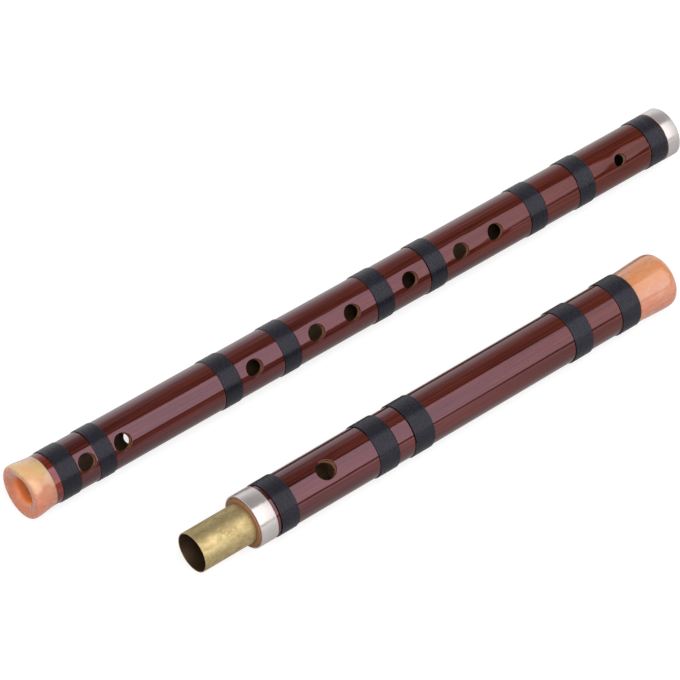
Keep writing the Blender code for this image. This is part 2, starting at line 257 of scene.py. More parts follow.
class Section:
    """One section of the flute: its body in the frame and the point its places count from."""

    def __init__(self, body, tube, first):
        low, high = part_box(tube)
        self.body = body
        self.origin = Vector((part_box(first)[0].x, (low.y + high.y) / 2, (low.z + high.z) / 2))

    def along(self, node):
        """First and last place of a CAD node along this section, in millimetres."""
        low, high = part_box(node)
        return (low.x - self.origin.x) / MM, (high.x - self.origin.x) / MM

    def radius(self, node):
        """Outer radius of a round CAD node, in millimetres."""
        low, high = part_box(node)
        return (high.y - low.y) / 2 / MM


BODY = Section("body_section", "body_tube", "tail_ring")
HEAD = Section("head_section", "head_tube", "head_tube")


def radius_at(radii, length, place):
    """Outer radius of a tapered tube at a place along it."""
    return radii[0] + (radii[1] - radii[0]) * place / length


def new_material(name):
    """A node material and its shader."""
    material = bpy.data.materials.new(name)
    material.use_nodes = True
    return material, material.node_tree, material.node_tree.nodes["Principled BSDF"]


def add_node(tree, kind, inputs=None, **options):
    """A node with its options and its inputs, each a value or another node's output."""
    node = tree.nodes.new(kind)
    for option, value in options.items():
        setattr(node, option, value)
    for socket, value in (inputs or {}).items():
        if isinstance(value, bpy.types.NodeSocket):
            tree.links.new(value, node.inputs[socket])
        else:
            node.inputs[socket].default_value = value
    return node


def coordinate(tree, axis):
    """A piece's own Object coordinate along one axis, in metres."""
    place = add_node(tree, "ShaderNodeTexCoord").outputs["Object"]
    return add_node(tree, "ShaderNodeSeparateXYZ", {0: place}).outputs[axis]


def spread(tree, value, first, last, low=0.0, high=1.0):
    """A value mapped from one range to another, and held at its ends."""
    return add_node(tree, "ShaderNodeMapRange", {
        "Value": value, "From Min": first, "From Max": last, "To Min": low,
        "To Max": high}).outputs["Result"]


def compute(tree, operation, first, second=0.0):
    """One step of arithmetic on one or two values."""
    return add_node(
        tree, "ShaderNodeMath", {0: first, 1: second}, operation=operation).outputs[0]


def colour_ramp(tree, source, stops):
    """A ramp over a texture, from (place, colour) stops."""
    node = add_node(tree, "ShaderNodeValToRGB", {"Fac": source})
    elements = node.color_ramp.elements
    elements[0].position, elements[1].position = stops[0][0], stops[-1][0]
    for place, _ in stops[1:-1]:
        elements.new(place)
    for element, (_, colour) in zip(elements, stops):
        element.color = (*colour, 1.0)
    return node.outputs["Color"]


def grey(value):
    """A grey of one value."""
    return (value, value, value)


def local_noise(tree, centre, cell, detail=3.0, roughness=0.5, distortion=0.0):
    """Noise whose cell is a box of real size, centred on a section's axis."""
    place = add_node(tree, "ShaderNodeTexCoord").outputs["Object"]
    mapped = add_node(
        tree, "ShaderNodeMapping", {"Vector": place, "Location": centre, "Scale": cell},
        vector_type="TEXTURE").outputs["Vector"]
    return add_node(tree, "ShaderNodeTexNoise", {
        "Vector": mapped, "Scale": 1.0, "Detail": detail, "Roughness": roughness,
        "Distortion": distortion}).outputs["Fac"]


def mix_colours(tree, factor, first, second, blend="MIX"):
    """Two colours mixed by a factor."""
    node = add_node(tree, "ShaderNodeMix", data_type="RGBA", blend_type=blend)
    for socket, value in ((0, factor), (6, first), (7, second)):
        if isinstance(value, bpy.types.NodeSocket):
            tree.links.new(value, node.inputs[socket])
        else:
            node.inputs[socket].default_value = value if socket == 0 else (*value, 1.0)
    return node.outputs[2]


def add_bump(tree, shader, height, distance, strength=1.0):
    """Fine relief of a surface from a texture."""
    bump = add_node(tree, "ShaderNodeBump", {
        "Height": height, "Distance": distance, "Strength": strength})
    tree.links.new(bump.outputs["Normal"], shader.inputs["Normal"])


def lacquered_bamboo(name, centre):
    """Dark red glossy lacquer over long fibres, painted brighter and redder beside the tail ring
    as a glow of the ring's light, and warmer and quieter by the socket.
    """
    chosen = settings().bamboo
    material, tree, shader = new_material(name)
    fibre = local_noise(tree, centre, (chosen.streak, chosen.width, chosen.width), 4.0, 0.62)
    colour = colour_ramp(tree, fibre, (
        (0.32, chosen.dark), (0.50, chosen.middle), (0.72, chosen.light)))
    broad = local_noise(tree, centre, (0.110, 0.0045, 0.0045), 2.0, 0.5)
    shade = colour_ramp(tree, broad, ((0.35, grey(0.80)), (0.65, grey(1.15))))
    colour = mix_colours(tree, 1.0, colour, shade, "MULTIPLY")
    pores = local_noise(tree, centre, (0.018, 0.00022, 0.00022), 1.0, 0.5)
    pore_mask = colour_ramp(tree, pores, ((0.60, grey(1.0)), (0.72, grey(0.45))))
    colour = mix_colours(tree, 0.8, colour, pore_mask, "MULTIPLY")
    along = spread(tree, coordinate(tree, "X"), -0.19, 0.19)
    # Painted glow: the short stretch beside the tail ring is brighter and redder, standing in for
    # the ring's orange light on the lacquer; further on the tone turns warmer towards the socket.
    ring_glow_and_tone = colour_ramp(tree, along, (
        (0.054, (2.1, 1.60, 1.30)), (0.070, (0.92, 0.96, 1.02)), (1.0, (1.28, 1.10, 0.92))))
    colour = mix_colours(tree, 1.0, colour, ring_glow_and_tone, "MULTIPLY")
    tree.links.new(colour, shader.inputs["Base Color"])
    polish = colour_ramp(tree, along, (
        (0.0, grey(0.56)), (0.35, grey(0.52)), (0.70, grey(0.41)), (0.93, grey(0.27))))
    tree.links.new(polish, shader.inputs["Specular IOR Level"])
    worn = colour_ramp(tree, broad, ((0.3, grey(0.05)), (0.7, grey(0.085))))
    tree.links.new(worn, shader.inputs["Roughness"])
    shader.inputs["IOR"].default_value = 1.60
    sheen = colour_ramp(tree, along, ((0.45, (1.0, 0.66, 0.84)), (0.90, (1.0, 0.64, 0.68))))
    tree.links.new(sheen, shader.inputs["Specular Tint"])
    add_bump(tree, shader, fibre, 0.000012, 0.35)
    return material


def cut_bamboo(name, centre, bore, outer):
    """Stained bamboo of cut walls and ends, darker in the bore, which is bare by the socket."""
    chosen = settings().bamboo
    material, tree, shader = new_material(name)
    depth = spread(tree, axis_distance(tree, centre), bore, outer)
    inner = colour_ramp(tree, depth, ((0.02, grey(1.0)), (0.30, grey(0.0))))
    outer_wall = colour_ramp(tree, depth, ((0.80, chosen.wall), (0.98, (0.10, 0.024, 0.012))))
    bare = spread(tree, coordinate(tree, "X"), 0.10, 0.13)
    bore_colour = mix_colours(tree, bare, chosen.bore, (0.50, 0.40, 0.16))
    base = mix_colours(tree, inner, outer_wall, bore_colour)
    grain = local_noise(tree, centre, (0.020, 0.00045, 0.00045), 4.0, 0.6)
    shade = colour_ramp(tree, grain, ((0.32, grey(0.55)), (0.68, grey(1.35))))
    tree.links.new(
        mix_colours(tree, 0.9, base, shade, "MULTIPLY"), shader.inputs["Base Color"])
    rough = colour_ramp(tree, grain, ((0.3, grey(0.50)), (0.7, grey(0.72))))
    tree.links.new(rough, shader.inputs["Roughness"])
    add_bump(tree, shader, grain, 0.00012, 0.6)
    return material


def waxed_thread(name, centre):
    """Close-wound waxed thread with rubbed crowns and fine fibres."""
    chosen = settings().thread
    material, tree, shader = new_material(name)
    patches = local_noise(tree, centre, (0.0008, 0.006, 0.006), 3.0, 0.6)
    colour = colour_ramp(tree, patches, ((0.30, chosen.colour), (0.85, chosen.worn)))
    tree.links.new(colour, shader.inputs["Base Color"])
    rough = colour_ramp(tree, patches, ((0.3, grey(0.19)), (0.7, grey(0.30))))
    tree.links.new(rough, shader.inputs["Roughness"])
    fibres = local_noise(tree, centre, (0.00010, 0.0009, 0.0009), 2.0, 0.6)
    add_bump(tree, shader, fibres, 0.00003, 0.35)
    shader.inputs["Specular IOR Level"].default_value = 0.58
    shader.inputs["Specular Tint"].default_value = (0.88, 0.86, 1.0, 1.0)
    return material


def polished_nickel(name, centre):
    """Nickel ring with lathe lines round it and faint rubbing."""
    chosen = settings().metal
    material, tree, shader = new_material(name)
    lines = local_noise(tree, centre, (0.00012, 0.012, 0.012), 3.0, 0.6)
    haze = local_noise(tree, centre, (0.004, 0.003, 0.003), 3.0, 0.6)
    colour = colour_ramp(tree, haze, ((0.3, tuple(0.93 * c for c in chosen.nickel)),
                                      (0.7, tuple(chosen.nickel))))
    tree.links.new(colour, shader.inputs["Base Color"])
    shader.inputs["Metallic"].default_value = 0.70
    rough = colour_ramp(tree, lines, ((0.3, grey(0.28)), (0.7, grey(0.35))))
    tree.links.new(rough, shader.inputs["Roughness"])
    shader.inputs["Anisotropic"].default_value = 0.92
    shader.inputs["Anisotropic Rotation"].default_value = 0.25
    round_axis = add_node(tree, "ShaderNodeTangent", direction_type="RADIAL", axis="X")
    tree.links.new(round_axis.outputs["Tangent"], shader.inputs["Tangent"])
    add_bump(tree, shader, lines, 0.00001, 0.4)
    return material


def axis_distance(tree, centre):
    """Distance from a section's axis, in millimetres."""
    place = add_node(tree, "ShaderNodeTexCoord").outputs["Object"]
    mapped = add_node(
        tree, "ShaderNodeMapping", {"Vector": place, "Location": centre, "Scale": (1e9, MM, MM)},
        vector_type="TEXTURE").outputs["Vector"]
    return add_node(
        tree, "ShaderNodeVectorMath", {0: mapped}, operation="LENGTH").outputs["Value"]


def handled_brass(name, centre, inside):
    """Satin brass with scuffs, tarnish and draw lines, and dark patina inside."""
    chosen = settings().metal
    material, tree, shader = new_material(name)
    blotch = local_noise(tree, centre, (0.0045, 0.0030, 0.0030), 4.0, 0.62, 0.6)
    colour = colour_ramp(tree, blotch, (
        (0.30, chosen.tarnish), (0.50, tuple(0.82 * c for c in chosen.brass)),
        (0.68, chosen.brass)))
    specks = local_noise(tree, centre, (0.0011, 0.0009, 0.0009), 2.0, 0.5)
    speck_mask = colour_ramp(tree, specks, ((0.66, grey(0.0)), (0.74, grey(1.0))))
    colour = mix_colours(tree, speck_mask, colour, (0.70, 0.61, 0.38))
    wall = spread(tree, axis_distance(tree, centre), inside, inside + 0.07)
    colour = mix_colours(tree, wall, chosen.patina, colour)
    tree.links.new(colour, shader.inputs["Base Color"])
    shader.inputs["Metallic"].default_value = 0.80
    rough = colour_ramp(tree, blotch, ((0.3, grey(0.60)), (0.7, grey(0.44))))
    tree.links.new(rough, shader.inputs["Roughness"])
    drawn = local_noise(tree, centre, (0.030, 0.00022, 0.00022), 3.0, 0.6)
    add_bump(tree, shader, drawn, 0.000015, 0.6)
    return material


def marbled_resin(name, centre, top, stretch, depth):
    """Cloudy resin with painted light and shade by height: one given colour at its lit top, peach
    below, deeper orange low down, and a painted orange glow deep inside.
    """
    chosen = settings().resin
    material, tree, shader = new_material(name)
    cell = (chosen.cloud * stretch, chosen.cloud, chosen.cloud)
    cloud = local_noise(tree, centre, cell, 3.0, 0.5, 0.8)
    # Painted light and shade: the colour follows height, paler and pinker up where the light
    # falls and deeper orange low down.
    height = spread(tree, coordinate(tree, "Z"), 0.0, 2 * centre[2])
    drift = spread(tree, cloud, 0.3, 0.7, -0.12, 0.12)
    lit_height = compute(tree, "ADD", height, drift)
    colour = colour_ramp(tree, lit_height, (
        (0.10, tuple(0.35 * a + 0.65 * b for a, b in zip(chosen.orange, chosen.peach))),
        (0.50, chosen.peach), (0.82, chosen.blush), (0.95, top)))
    veins = local_noise(tree, centre, (0.006, 0.0026, 0.0026), 3.0, 0.55, 1.0)
    vein_mask = colour_ramp(tree, veins, ((0.50, grey(0.0)), (0.78, grey(0.30))))
    colour = mix_colours(tree, vein_mask, colour, (0.74, 0.47, 0.33))
    # Painted glow: deep orange inside the throat stands in for light passing through the
    # translucent resin.
    deep = spread(tree, axis_distance(tree, centre), THROAT, 7.2, 0.95, 0.0)
    colour = mix_colours(tree, deep, colour, chosen.orange)
    tree.links.new(colour, shader.inputs["Base Color"])
    rough = colour_ramp(tree, veins, ((0.3, grey(0.22)), (0.7, grey(0.32))))
    tree.links.new(rough, shader.inputs["Roughness"])
    shader.inputs["Subsurface Weight"].default_value = 0.60
    shader.inputs["Subsurface Radius"].default_value = (1.0, 0.45, 0.22)
    shader.inputs["Subsurface Scale"].default_value = depth
    shader.inputs["Specular IOR Level"].default_value = 0.2
    shader.inputs["Coat Weight"].default_value = 0.8
    shader.inputs["Coat Roughness"].default_value = 0.06
    return material


def natural_cork(name, centre):
    """Cork with dark cells."""
    material, tree, shader = new_material(name)
    cells = local_noise(tree, centre, (0.0012, 0.0009, 0.0009), 5.0, 0.7)
    colour = colour_ramp(tree, cells, (
        (0.32, (0.10, 0.045, 0.02)), (0.48, (0.36, 0.20, 0.10)), (0.7, (0.52, 0.33, 0.18))))
    tree.links.new(colour, shader.inputs["Base Color"])
    rough = colour_ramp(tree, cells, ((0.3, grey(0.95)), (0.7, grey(0.8))))
    tree.links.new(rough, shader.inputs["Roughness"])
    add_bump(tree, shader, cells, 0.0002, 0.6)
    return material


def bend(start, first_handle, second_handle, end, steps):
    """Points of a curved stretch of an outline, from (along, radius) points."""
    corners = [Vector((*point, 0.0)) for point in (start, first_handle, second_handle, end)]
    points = geometry.interpolate_bezier(*corners, steps)
    return [(point.x, point.y) for point in points]


def turn(outline, sides, closed=True):
    """Spin an outline of (along, radius) points in millimetres round the X axis."""
    shape = bmesh.new()
    verts = [shape.verts.new((along * MM, 0.0, radius * MM)) for along, radius in outline]
    edges = [shape.edges.new(pair) for pair in zip(verts, verts[1:])]
    if closed:
        edges.append(shape.edges.new((verts[-1], verts[0])))
    bmesh.ops.spin(
        shape, geom=verts + edges, cent=(0, 0, 0), axis=(1, 0, 0), dvec=(0, 0, 0),
        angle=2 * math.pi, steps=sides, use_merge=True, use_duplicate=False)
    bmesh.ops.remove_doubles(shape, verts=shape.verts, dist=1e-6)
    bmesh.ops.recalc_face_normals(shape, faces=shape.faces)
    return shape


def break_edges(shape, offset, segments=3):
    """Round every sharp edge of a turned shape."""
    sharp = [edge for edge in shape.edges if edge.calc_face_angle(0.0) > math.radians(40)]
    bmesh.ops.bevel(
        shape, geom=sharp, offset=offset, offset_type="OFFSET", segments=segments,
        profile=0.5, affect="EDGES", clamp_overlap=True, material=-1)


def finish_piece(shape, name, section, materials, nodes, angle=35.0):
    """Set a shape in its section's place as a finished piece that rides on its body."""
    bmesh.ops.translate(shape, verts=shape.verts, vec=section.origin)
    mesh = bpy.data.meshes.new(name)
    shape.to_mesh(mesh)
    shape.free()
    piece = bpy.data.objects.new(name, mesh)
    bpy.context.scene.collection.objects.link(piece)
    for material in materials:
        mesh.materials.append(material)
    mesh.shade_smooth()
    mesh.set_sharp_from_angle(angle=math.radians(angle))
    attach(piece, body_of(nodes[0]))
    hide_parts(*nodes)
    return piece


def body_of(node):
    """Name of the CAD body that a node belongs to."""
    return frame["nodes"][node]["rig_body"]


def stations(start, end, spacing):
    """Evenly spaced places from start to end, both included."""
    count = max(1, math.ceil((end - start) / spacing))
    return [start + (end - start) * step / count for step in range(count + 1)]


def tube_outline(radii, length, start, end, seats, ends, inside):
    """Outer wall with its binding seats, then the inside, as one closed outline."""
    points = list(ends[0])
    place = start
    for first, last in seats:
        points += [(along, radius_at(radii, length, along))
                   for along in stations(place, first, WALL_SPACING)]
        floor = radius_at(radii, length, (first + last) / 2) - SEAT_DEPTH
        points += [(first, floor), (last, floor)]
        place = last
    if end > place:
        points += [(along, radius_at(radii, length, along))
                   for along in stations(place, end, WALL_SPACING)]
    return points + list(ends[1]) + list(inside)


class NaturalWall:
    """Outer wall of one bamboo tube: its taper, its slight waves and the dips round its holes."""

    def __init__(self, radii, length, holes, seed):
        self.radii = radii
        self.length = length
        self.seed = seed
        self.flat_depth = FLAT_DEPTH if length > FLAT[0] else 0.0
        self.dips = [
            (middle, -math.sin(math.radians(turned)), math.cos(math.radians(turned)))
            for _, middle, _, _, turned in holes
        ]

    def lift(self, along, across, up):
        """How far the wall stands off its taper at a place along and a direction round."""
        long_wave = noise.noise(Vector((along * 0.022 + self.seed, across * 0.9, up * 0.9)))
        flat = noise.noise(Vector((along * 0.008 + self.seed, across * 2.2, up * 2.2)))
        lift = NATURAL_WAVE * 0.5 * (long_wave + flat)
        if self.flat_depth:
            middle, turned, reach_along, reach_round = FLAT
            away = math.hypot(
                (along - middle) / reach_along,
                self.radii[0] * (math.atan2(-across, up) - math.radians(turned)) / reach_round)
            lift -= self.flat_depth * math.exp(-0.5 * away ** 2)
        for middle, hole_across, hole_up in self.dips:
            if abs(along - middle) > 3 * DISH_REACH:
                continue
            sideways = self.radii[0] * math.hypot(across - hole_across, up - hole_up)
            away = math.hypot(along - middle, sideways) / DISH_REACH
            lift -= DISH_DEPTH * math.exp(-0.5 * away ** 2)
        return lift

    def normal(self, along, angle):
        """Direction that the wall faces at a place along and an angle from +Z towards -Y."""
        step = 0.3
        turn_step = step / self.radii[0]
        slope_along = (self.at(along + step, angle) - self.at(along - step, angle)) / (2 * step)
        slope_round = (self.at(along, angle + turn_step)
                       - self.at(along, angle - turn_step)) / (2 * step)
        across, up = -math.sin(angle), math.cos(angle)
        return Vector((
            -slope_along, across + slope_round * up, up - slope_round * across)).normalized()

    def at(self, along, angle):
        """Radius of the wall at a place along and an angle from +Z towards -Y."""
        taper = radius_at(self.radii, self.length, along)
        return taper + self.lift(along, -math.sin(angle), math.cos(angle))

    def shape(self, shape):
        """Move a turned tube's outer wall to its natural place."""
        for vert in shape.verts:
            radius = math.hypot(vert.co.y, vert.co.z)
            if radius < (SPIGOT + GLUE_GAP) * MM:
                continue
            across, up = vert.co.y / radius, vert.co.z / radius
            lift = self.lift(vert.co.x / MM, across, up) * MM
            vert.co.y += across * lift
            vert.co.z += up * lift

    def shade(self, piece, section):
        """Shade the outer wall by its true shape, whatever facets the holes leave in it."""
        mesh = piece.data
        known = {}
        normals = []
        for face in mesh.polygons:
            for index in face.vertices:
                if face.material_index:
                    normals.append((0.0, 0.0, 0.0))
                    continue
                if index not in known:
                    offset = mesh.vertices[index].co - section.origin
                    angle = math.atan2(-offset.y, offset.z)
                    radius = math.hypot(offset.y, offset.z) / MM
                    along = offset.x / MM
                    on_wall = abs(radius - self.at(along, angle)) < 0.03
                    known[index] = self.normal(along, angle) if on_wall else None
                true = known[index]
                use = true is not None and face.normal.dot(true) > 0.93
                normals.append(tuple(true) if use else (0.0, 0.0, 0.0))
        mesh.normals_split_custom_set(normals)


def hole_plug(name, section, hole, radius, bore, bevel=HOLE_BEVEL, sides=56):
    """Plug that cuts one hole with a soft rim that follows the wall."""
    _, middle, length, width, direction = hole
    rings = (
        (length / 2, width / 2, bore * 0.55, False),
        (length / 2, width / 2, radius - bevel * 1.6, True),
        (length / 2 + bevel * 0.12, width / 2 + bevel * 0.12, radius - bevel * 0.9, True),
        (length / 2 + bevel * 0.45, width / 2 + bevel * 0.45, radius - bevel * 0.35, True),
        (length / 2 + bevel * 1.1, width / 2 + bevel * 1.1, radius + bevel * 0.05, True),
        (length / 2 + bevel * 1.1, width / 2 + bevel * 1.1, radius * 1.2, False),
    )
    shape = bmesh.new()
    bmesh.ops.create_circle(shape, cap_ends=True, segments=sides, radius=1.0)
    edges = list(shape.edges)
    size = (1.0, 1.0)
    for step, (half_length, half_width, height, follows) in enumerate(rings):
        if step:
            grown = bmesh.ops.extrude_edge_only(shape, edges=edges)["geom"]
            edges = [item for item in grown
                     if isinstance(item, bmesh.types.BMEdge) and item.is_boundary]
        for vert in {vert for edge in edges for vert in edge.verts}:
            vert.co.x *= half_length * MM / size[0]
            vert.co.y *= half_width * MM / size[1]
            vert.co.z = height * MM
            if follows:
                vert.co.z = math.sqrt((height * MM) ** 2 - vert.co.y ** 2)
        size = (half_length * MM, half_width * MM)
    bmesh.ops.holes_fill(shape, edges=edges, sides=0)
    bmesh.ops.recalc_face_normals(shape, faces=shape.faces)
    bmesh.ops.rotate(
        shape, cent=(0, 0, 0), verts=shape.verts,
        matrix=Matrix.Rotation(math.radians(direction), 3, "X"))
    bmesh.ops.translate(
        shape, verts=shape.verts, vec=section.origin + Vector((middle * MM, 0.0, 0.0)))
    mesh = bpy.data.meshes.new(name)
    shape.to_mesh(mesh)
    shape.free()
    plug = bpy.data.objects.new(name, mesh)
    bpy.context.scene.collection.objects.link(plug)
    return plug


def drill(piece, plugs):
    """Cut the holes in a tube and drop the plugs."""
    for plug in plugs:
        cut = piece.modifiers.new(plug.name, "BOOLEAN")
        cut.operation = "DIFFERENCE"
        cut.solver = "EXACT"
        cut.object = plug
    evaluated = piece.evaluated_get(bpy.context.evaluated_depsgraph_get())
    mesh = bpy.data.meshes.new_from_object(evaluated)
    piece.modifiers.clear()
    old_mesh = piece.data
    piece.data = mesh
    bpy.data.meshes.remove(old_mesh)
    mesh.name = piece.name
    for plug in plugs:
        old_mesh = plug.data
        bpy.data.objects.remove(plug)
        bpy.data.meshes.remove(old_mesh)


def paint_cut_faces(piece, materials, section, wall):
    """Give the lacquer to the outer wall and the cut bamboo to everything deeper."""
    mesh = piece.data
    mesh.materials.clear()
    for material in materials:
        mesh.materials.append(material)
    for face in mesh.polygons:
        offset = face.center - section.origin
        radius = math.hypot(offset.y, offset.z) / MM
        face.material_index = 0 if radius > wall(offset.x / MM) else 1
    mesh.shade_smooth()
    mesh.set_sharp_from_angle(angle=math.radians(38))


def make_tube(name, node, section, outline, holes, radii, length, bore, seed, limits):
    """One bamboo tube with its holes."""
    chosen = settings().bamboo
    shape = turn(outline, chosen.sides)
    natural = NaturalWall(radii, length, holes, seed)
    natural.shape(shape)
    centre = tuple(section.origin)
    lacquer = lacquered_bamboo(name + "_lacquer", centre)
    raw = cut_bamboo(name + "_cut", centre, bore, max(radii))
    piece = finish_piece(shape, name, section, [lacquer, raw], [node])
    plugs = [
        hole_plug(
            name + "_" + hole[0], section, hole,
            radius_at(radii, length, hole[1]) - 0.55 * DISH_DEPTH, bore)
        for hole in holes
    ]
    drill(piece, plugs)

    def wall(place):
        """Radius under which a face is cut bamboo, at a place along the tube."""
        if not limits[0] < place < limits[1]:
            return math.inf
        return radius_at(radii, length, place) - LACQUER_DEPTH

    paint_cut_faces(piece, [lacquer, raw], section, wall)
    natural.shade(piece, section)
    return piece


def seats_of(section, names):
    """Seats of the bindings along a section, a little longer than the thread."""
    ends = [section.along(name) for name in names]
    return [(first - SEAT_GAP, last + SEAT_GAP) for first, last in ends]


class DIZI_OT_bamboo(bpy.types.Operator):
    """Make both bamboo tubes with their seats, bores and holes"""

    bl_idname = "dizi.bamboo"
    bl_label = "Bamboo tubes"

    def execute(self, context):
        self.body()
        self.head()
        return {"FINISHED"}

    def body(self):
        """Body tube, from its tail spigot to the end inside the ferrule."""
        spigot_start, length = BODY.along("body_tube")
        start = BODY.along("tail_ring")[1] + FACE_GAP
        end = BODY.along("body_ferrule")[0] - FACE_GAP
        seat = BODY.radius("body_ferrule") - FERRULE_SEAT
        socket_start = BODY.along("socket_sleeve")[0] - END_GAP
        socket_wall = BODY.radius("socket_sleeve") + GLUE_GAP
        outline = tube_outline(
            BODY_RADII, length, start, end, seats_of(BODY, BODY_BINDINGS),
            ([(spigot_start, SPIGOT), (start, SPIGOT)], [(end, seat), (length, seat)]),
            [(length, socket_wall), (socket_start, socket_wall), (socket_start, BORE),
             (spigot_start, BORE)])
        make_tube(
            "bamboo_body", "body_tube", BODY, outline, BODY_HOLES, BODY_RADII, length,
            BORE, BODY_SEED, (start + LACQUER_START, end - LACQUER_START))

    def head(self):
        """Head tube, from its rim inside the ferrule to its spigot inside the cap."""
        start = HEAD.along("head_ferrule")[1] + FACE_GAP
        cap_start = HEAD.along("head_cap")[0]
        end = cap_start - FACE_GAP
        spigot_end = cap_start + CAP_SPIGOT_LENGTH
        seat = HEAD.radius("head_ferrule") - FERRULE_SEAT
        glued = HEAD.along("tenon_sleeve")[1] + END_GAP
        counterbore = HEAD.radius("tenon_sleeve") + GLUE_GAP
        outline = tube_outline(
            HEAD_RADII, cap_start, start, end, seats_of(HEAD, HEAD_BINDINGS),
            ([(0.0, seat), (start, seat)], [(end, SPIGOT), (spigot_end, SPIGOT)]),
            [(spigot_end, BORE), (glued, BORE), (glued, counterbore), (0.0, counterbore)])
        make_tube(
            "bamboo_head", "head_tube", HEAD, outline, HEAD_HOLES, HEAD_RADII, cap_start,
            BORE, HEAD_SEED, (start + LACQUER_START, end - LACQUER_START))


class DIZI_OT_bindings(bpy.types.Operator):
    """Wind the thread of every binding"""

    bl_idname = "dizi.bindings"
    bl_label = "Thread bindings"

    def execute(self, context):
        chosen = settings().thread
        for section, names in ((BODY, BODY_BINDINGS), (HEAD, HEAD_BINDINGS)):
            thread = waxed_thread("waxed_thread_" + section.body, tuple(section.origin))
            for name in names:
                self.wind(section, name, chosen, thread)
        return {"FINISHED"}

    def wind(self, section, name, chosen, thread):
        """Wind one binding as an unbroken screw of thread."""
        first, last = section.along(name)
        first, last = first - THREAD_OVERLAP, last + THREAD_OVERLAP
        outer = section.radius(name)
        inner = outer - THREAD_HEIGHT
        turns = round((last - first) / (chosen.pitch / MM)) - 1
        pitch = (last - first) / (turns + 1)
        half = pitch * 0.495
        crown = ((-1.0, 0.0), (-1.0, 0.72), (-0.80, 0.90), (-0.42, 0.98), (0.0, 1.0),
                 (0.42, 0.98), (0.80, 0.90), (1.0, 0.72), (1.0, 0.0))
        shape = bmesh.new()
        verts = [
            shape.verts.new((
                (first + pitch / 2 + half * across) * MM, 0.0,
                (inner + (outer - inner) * up) * MM))
            for across, up in crown
        ]
        edges = [shape.edges.new(pair) for pair in zip(verts, verts[1:] + verts[:1])]
        start_turn = noise.noise(Vector((first, outer, 0.5))) * math.pi
        bmesh.ops.rotate(
            shape, cent=(0, 0, 0), verts=shape.verts,
            matrix=Matrix.Rotation(start_turn, 3, "X"))
        bmesh.ops.spin(
            shape, geom=verts + edges, cent=(0, 0, 0), axis=(1, 0, 0),
            dvec=(pitch * MM / chosen.sides, 0, 0), angle=2 * math.pi,
            steps=chosen.sides, use_merge=False, use_duplicate=False)
        one_turn = list(shape.verts) + list(shape.edges) + list(shape.faces)
        for number in range(1, turns):
            copied = bmesh.ops.duplicate(shape, geom=one_turn)["geom"]
            bmesh.ops.translate(
                shape, vec=(number * pitch * MM, 0, 0),
                verts=[item for item in copied if isinstance(item, bmesh.types.BMVert)])
        bmesh.ops.remove_doubles(shape, verts=shape.verts, dist=2e-6)
        bmesh.ops.holes_fill(shape, edges=[e for e in shape.edges if e.is_boundary], sides=0)
        bmesh.ops.recalc_face_normals(shape, faces=shape.faces)
        self.slacken(shape, outer)
        finish_piece(
            shape, "thread_" + name[-2:], section, [thread], [name], 60.0)

    def slacken(self, shape, outer):
        """Let the thread's crowns lie a little unevenly, and never above the band."""
        for vert in shape.verts:
            radius = math.hypot(vert.co.y, vert.co.z)
            place = Vector((vert.co.x * 1600, vert.co.y * 90, vert.co.z * 90))
            slack = 1.0 - 0.0030 * (1.0 + noise.noise(place))
            if radius > (outer - 0.5) * MM:
                vert.co.y *= slack
                vert.co.z *= slack


class DIZI_OT_resin(bpy.types.Operator):
    """Turn the tail ring and the head cap"""

    bl_idname = "dizi.resin"
    bl_label = "Resin fittings"

    def execute(self, context):
        self.tail_ring(settings().resin)
        self.head_cap()
        return {"FINISHED"}

    def tail_ring(self, chosen):
        """Ring that flares to the tail, with a rounded mouth that narrows to its throat."""
        end = BODY.along("tail_ring")[1]
        lip = BODY.radius("tail_ring")
        socket = SPIGOT + GLUE_GAP
        outline = bend((end, 11.56), (end - 3.0, 11.66), (4.4, lip - 0.02), (2.2, lip), 10)
        outline += bend((1.3, lip), (0.5, lip), (0.0, lip - 0.5), (0.0, lip - 1.2), 7)
        outline += bend((0.0, lip - 1.9), (0.0, 7.9), (1.57, THROAT), (3.5, THROAT), 16)
        outline += [(end - RING_SOCKET_DEPTH, THROAT), (end - RING_SOCKET_DEPTH, socket),
                    (end, socket)]
        shape = turn(outline, ROUND_SIDES)
        resin = marbled_resin("resin_tail", tuple(BODY.origin), chosen.lit_cream, 1.1, 0.007)
        finish_piece(shape, "ring_tail", BODY, [resin], ["tail_ring"], 50.0)

    def head_cap(self):
        """Closed cap that flares a little to its rounded end."""
        first, end = HEAD.along("head_cap")
        widest = HEAD.radius("head_cap")
        socket = SPIGOT + GLUE_GAP
        bottom = first + CAP_SOCKET_DEPTH
        outline = [(end, 0.0), (end, 4.0)]
        outline += bend((end, widest - 3.8), (end, widest - 1.6), (end - 1.3, widest - 0.1),
                        (end - 3.8, widest), 12)
        outline += bend((end - 5.0, widest), (end - 11.0, widest - 0.1),
                        (first + 6.0, 12.1), (first, 12.05), 14)
        outline += [(first, socket), (bottom, socket), (bottom, 0.0)]
        shape = turn(outline, ROUND_SIDES, closed=False)
        resin = marbled_resin("resin_cap", tuple(HEAD.origin), CAP_TOP, 2.4, 0.004)
        finish_piece(shape, "cap_head", HEAD, [resin], ["head_cap"], 50.0)


